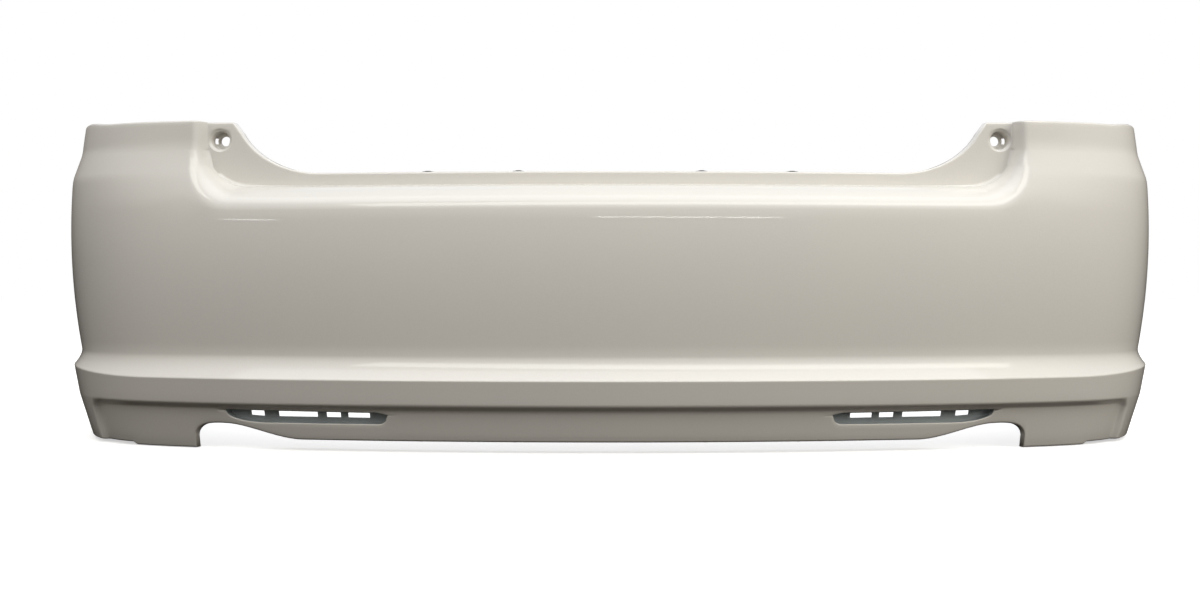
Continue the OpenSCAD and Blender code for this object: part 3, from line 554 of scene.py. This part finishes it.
# ------------------------------------------------------------------ spring steel and screws
# Push-on rings, clip nuts and self-tapping screws in hardened steel with dark zinc-nickel plating: a grey sheen that
# is clouded every 8 mm or so where the plating is thinner, with scuffs about 1 mm wide.
cloud_size, scuff_size = 1 / 120, 0.001
plated, tree, out, place = new_material("zinc_nickel_plated_spring_steel")
clouded = add_node(tree, "ShaderNodeTexNoise", {"Vector": place, "Scale": 1 / cloud_size, "Detail": 3})
scuff = add_node(tree, "ShaderNodeTexNoise", {"Vector": place, "Scale": 1 / scuff_size, "Detail": 2})
plating = add_node(tree, "ShaderNodeMix", {
    "Factor": clouded.outputs["Fac"], "A": linear("#63656A"), "B": linear("#8C8E90")}, data_type="RGBA")
worn = add_node(tree, "ShaderNodeMapRange", {"Value": scuff.outputs["Fac"], "To Min": 0.28, "To Max": 0.5})
pits = add_node(tree, "ShaderNodeBump", {"Height": scuff.outputs["Fac"], "Strength": 0.15, "Distance": 0.00005})
shader = add_node(tree, "ShaderNodeBsdfPrincipled", {
    "Base Color": plating.outputs["Result"], "Roughness": worn.outputs["Result"], "Metallic": 1.0,
    "Normal": pits.outputs["Normal"]})
tree.links.new(shader.outputs["BSDF"], out.inputs["Surface"])
finish_nodes(plated, "tray_push_rings", "cup_push_rings", "side_rail_screws", "arch_clip_nuts")

# ------------------------------------------------------------------ blind rivets
# Drawn aluminium rivets that hold the stiffeners to the flanges: bright, with fine marks 0.7 mm apart from the
# setting tool.
mark_gap = 0.0007
drawn, tree, out, place = new_material("drawn_aluminium")
tool = add_node(tree, "ShaderNodeTexNoise", {"Vector": place, "Scale": 1 / mark_gap, "Detail": 2})
metal = add_node(tree, "ShaderNodeMix", {
    "Factor": tool.outputs["Fac"], "A": linear("#C3C5C6"), "B": linear("#DCDDDE")}, data_type="RGBA")
marks = add_node(tree, "ShaderNodeBump", {"Height": tool.outputs["Fac"], "Strength": 0.2, "Distance": 0.00005})
satiny = add_node(tree, "ShaderNodeMapRange", {"Value": tool.outputs["Fac"], "To Min": 0.25, "To Max": 0.42})
shader = add_node(tree, "ShaderNodeBsdfPrincipled", {
    "Base Color": metal.outputs["Result"], "Roughness": satiny.outputs["Result"], "Metallic": 1.0,
    "Normal": marks.outputs["Normal"]})
tree.links.new(shader.outputs["BSDF"], out.inputs["Surface"])
finish_nodes(drawn, "sill_rivets", "valance_rivets")

# ------------------------------------------------------------------ push-in retainers
# Two-piece retainers in black nylon. Each collar is pushed through the flange and its centre pin is pushed in to
# spread the legs; to release one, the pin is pulled out 6 mm. Collars are satin, and pin heads a little shinier. Both
# are mottled in patches of 2.5 mm, as moulded nylon is.
mottle_size = 0.0025
for label, dark, pale, low_rough, high_rough, names in (
        ("black_nylon_satin", "#1B1C1D", "#27282A", 0.4, 0.55, ["upper_clip_collars", "lower_clip_collars"]),
        ("black_nylon_polished", "#242527", "#2E3032", 0.22, 0.36,
         [f"{row}_clip_pin_{k}" for row in ("upper", "lower") for k in (1, 2, 3, 4)])):
    retainer, tree, out, place = new_material(label)
    mottle = add_node(tree, "ShaderNodeTexNoise", {"Vector": place, "Scale": 1 / mottle_size, "Detail": 3})
    colour = add_node(tree, "ShaderNodeMix", {
        "Factor": mottle.outputs["Fac"], "A": linear(dark), "B": linear(pale)}, data_type="RGBA")
    texture = add_node(tree, "ShaderNodeBump", {
        "Height": mottle.outputs["Fac"], "Strength": 0.2, "Distance": 0.00008})
    gloss = add_node(tree, "ShaderNodeMapRange", {
        "Value": mottle.outputs["Fac"], "To Min": low_rough, "To Max": high_rough})
    shader = add_node(tree, "ShaderNodeBsdfPrincipled", {
        "Base Color": colour.outputs["Result"], "Roughness": gloss.outputs["Result"], "IOR": 1.53,
        "Normal": texture.outputs["Normal"]})
    tree.links.new(shader.outputs["BSDF"], out.inputs["Surface"])
    finish_nodes(retainer, *names)

# ------------------------------------------------------------------ floor
# Plain pale floor paint, as white as the backdrop, 0.8 mm under the cover's lobes. It glows a little where it is
# seen.
# To all other light it is dark brown instead. That is painted shade: it keeps the cover's underside dark.
floor_half, floor_z = 12.0, -0.0008
floor_mesh = bpy.data.meshes.new("floor")
floor_corners = [(x * floor_half, y * floor_half, floor_z) for x, y in ((-1, -1), (1, -1), (1, 1), (-1, 1))]
floor_mesh.from_pydata(floor_corners, [], [(0, 1, 2, 3)])
floor = bpy.data.objects.new("floor", floor_mesh)
bpy.context.collection.objects.link(floor)
ground, tree, out, place = new_material("pale_floor_with_painted_shade")
speck = add_node(tree, "ShaderNodeTexNoise", {"Vector": place, "Scale": 3, "Detail": 2})
pale_floor = add_node(tree, "ShaderNodeMix", {
    "Factor": speck.outputs["Fac"], "A": linear("#F1F0EE"), "B": linear("#F4F3F1")}, data_type="RGBA")
# Painted shade: the floor is this dark only to bounced light, which darkens the cover's underside
painted_shade_floor = add_node(tree, "ShaderNodeBsdfDiffuse", {"Color": linear("#231D17")})
bright_floor = add_node(tree, "ShaderNodeBsdfDiffuse", {"Color": pale_floor.outputs["Result"]})
glow = add_node(tree, "ShaderNodeEmission", {"Color": linear("#FFFFFF"), "Strength": 0.55})
lit_floor = add_node(tree, "ShaderNodeAddShader")
tree.links.new(bright_floor.outputs["BSDF"], lit_floor.inputs[0])
tree.links.new(glow.outputs["Emission"], lit_floor.inputs[1])
path = add_node(tree, "ShaderNodeLightPath")
either = add_node(tree, "ShaderNodeMixShader", {"Fac": path.outputs["Is Camera Ray"]})
tree.links.new(painted_shade_floor.outputs["BSDF"], either.inputs[1])
tree.links.new(lit_floor.outputs["Shader"], either.inputs[2])
tree.links.new(either.outputs["Shader"], out.inputs["Surface"])
floor_mesh.materials.append(ground)

# ------------------------------------------------------------------ light
# White backdrop. The light that reaches the object comes mostly from above: white overhead, a dark warm grey at the
# horizon, and nearly black from below. Seven soft rectangular lights are added to it.
world = bpy.data.worlds.new("studio")
world.use_nodes = True
tree = world.node_tree
tree.nodes.clear()
direction = add_node(tree, "ShaderNodeTexCoord")
split = add_node(tree, "ShaderNodeSeparateXYZ", {"Vector": direction.outputs["Generated"]})
climb = add_node(tree, "ShaderNodeMapRange", {"Value": split.outputs["Z"], "From Min": -0.3, "From Max": 1.0})
sky = add_node(tree, "ShaderNodeValToRGB", {"Fac": climb.outputs["Result"]})
ramp = sky.color_ramp
ramp.elements[0].position, ramp.elements[0].color = 0.0, linear("#1C1813")
ramp.elements[1].position, ramp.elements[1].color = 1.0, linear("#FFFFFF")
for position, colour in ((0.23, "#3A342B"), (0.4, "#B4AEA6"), (0.7, "#E6E8EC")):
    ramp.elements.new(position).color = linear(colour)
path = add_node(tree, "ShaderNodeLightPath")
surround = add_node(tree, "ShaderNodeBackground", {"Color": sky.outputs["Color"], "Strength": 0.75})
white = add_node(tree, "ShaderNodeBackground", {"Color": (1, 1, 1, 1), "Strength": 1.0})
choice = add_node(tree, "ShaderNodeMixShader", {"Fac": path.outputs["Is Camera Ray"]})
tree.links.new(surround.outputs["Background"], choice.inputs[1])
tree.links.new(white.outputs["Background"], choice.inputs[2])
world_out = tree.nodes.new("ShaderNodeOutputWorld")
tree.links.new(choice.outputs["Shader"], world_out.inputs["Surface"])
bpy.context.scene.world = world


def soft_light(name, place, target, size, watts, colour="#FFFFFF"):
    """Rectangular light at a place, aimed at a target. The camera doesn't see it, but reflections do."""
    data = bpy.data.lights.new(name, "AREA")
    data.shape, data.size, data.size_y = "RECTANGLE", *size
    data.energy, data.color = watts, linear(colour)[:3]
    light = bpy.data.objects.new(name, data)
    light.location = place
    aim = np.subtract(target, place)
    light.rotation_euler = (np.arctan2(np.hypot(aim[0], aim[1]), -aim[2]), 0, np.arctan2(-aim[0], aim[1]))
    light.visible_camera = False
    bpy.context.collection.objects.link(light)
    return light


# Two broad lights from above, a fill from each side that leaves no reflection, one behind for the inside of the
# cover, and two thin tubes that draw the bright streaks on the shoulder. Each has its place, target and size in
# metres, and its watts.
soft_light("overhead", (0, -0.6, 3.0), (0, -0.3, 0.3), (4.4, 1.6), 24, "#F4F8FF")
soft_light("front_high", (0.5, -2.1, 2.7), (0.15, -0.2, 0.25), (4.6, 0.9), 40, "#FDFDF8")
soft_light("fill_left", (-2.8, -2.2, 1.3), (-0.2, 0, 0.3), (1.6, 1.6), 8, "#FDF8EC").visible_glossy = False
soft_light("fill_right", (2.8, -2.0, 1.3), (0.5, 0, 0.3), (1.6, 1.6), 36, "#FDF8EC").visible_glossy = False
soft_light("behind", (0, 2.4, 1.9), (0, 0, 0.3), (3.0, 1.2), 6, "#F6F9FF")
soft_light("tube_middle", (0.33, -1.8, 0.635), (0.33, -0.3, 0.346), (0.77, 0.012), 0.5)
soft_light("tube_left", (-1.6, -1.75, 0.62), (-0.6, -0.25, 0.346), (0.24, 0.012), 0.16)

# ------------------------------------------------------------------ camera
# Level and square on to the middle of the cover, at half its height and 1.6 m in front of its face. The small shift
# sets the cover a little to the right of the frame's middle and above it.
frame_width, shift_x, shift_y = 1200, -10, -24
camera = bpy.data.objects.new("camera", bpy.data.cameras.new("camera"))
camera.location, camera.rotation_euler = (0, -1.928, 0.250), (np.pi / 2, 0, 0)
camera.data.lens, camera.data.sensor_width = 34.5, 36
camera.data.shift_x, camera.data.shift_y = shift_x / frame_width, shift_y / frame_width
bpy.context.collection.objects.link(camera)
bpy.context.scene.camera = camera
bpy.context.scene.view_settings.view_transform = "Standard"
